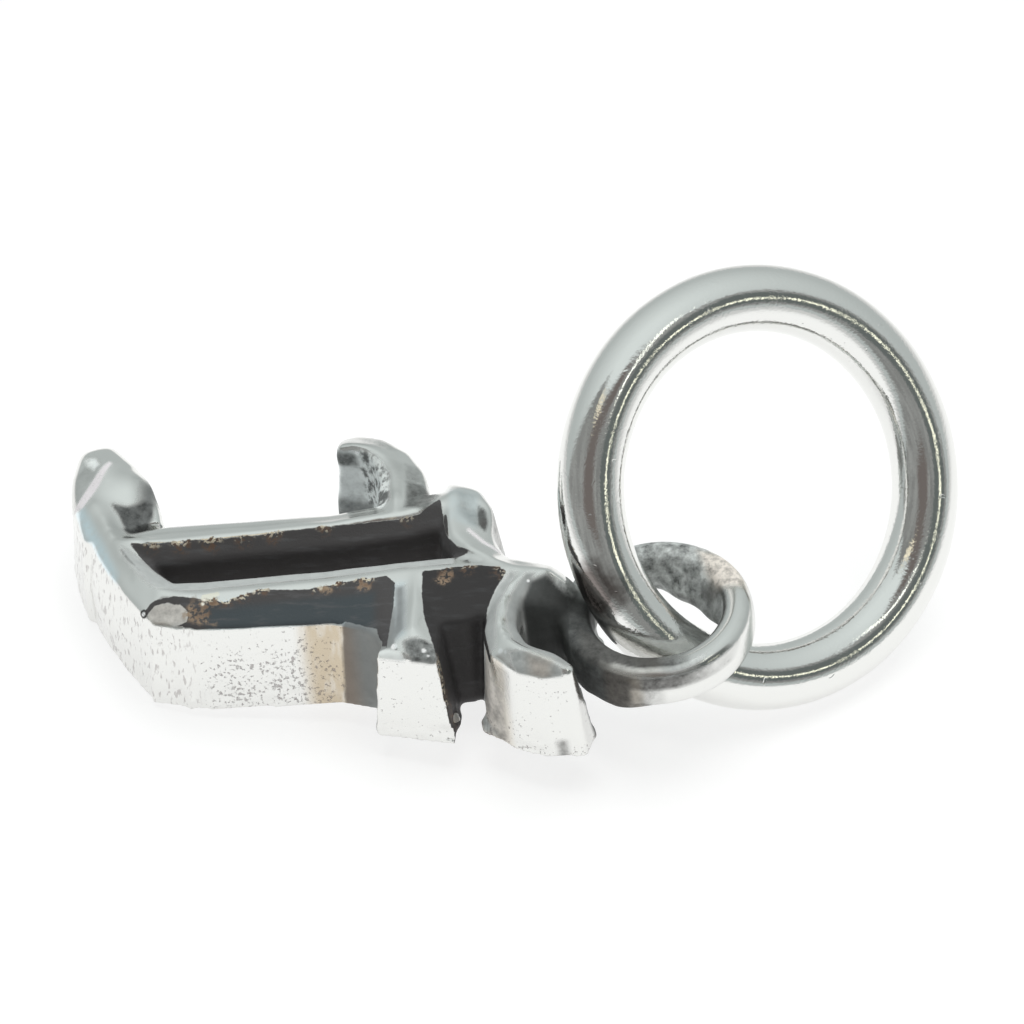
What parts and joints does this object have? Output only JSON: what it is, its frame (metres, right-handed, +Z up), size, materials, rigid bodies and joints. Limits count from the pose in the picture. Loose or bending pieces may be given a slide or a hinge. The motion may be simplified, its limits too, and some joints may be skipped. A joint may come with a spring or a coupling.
{
  "type": "letter charm",
  "caption": "Thick cast silver charm in the shape of a black-letter capital F with ridged strokes, a soldered bail and a heavy round jump ring, lying on its back.",
  "frame": {"origin": "middle of the whole charm's bounding box, on the table that it lies on", "axes": "+X up the letter towards the ring, -Y towards the letter's right-hand side, +Z up from the table"},
  "size_m": [0.0242, 0.0114, 0.0099],
  "materials": {
    "cast_silver": "cast sterling silver, polished crests, blackened recesses, fine pits and scratches",
    "wire_silver": "polished sterling silver wire"
  },
  "bodies": {
    "root": {"letter": "cast_silver", "jump_ring": "wire_silver"}
  },
  "joints": []
}
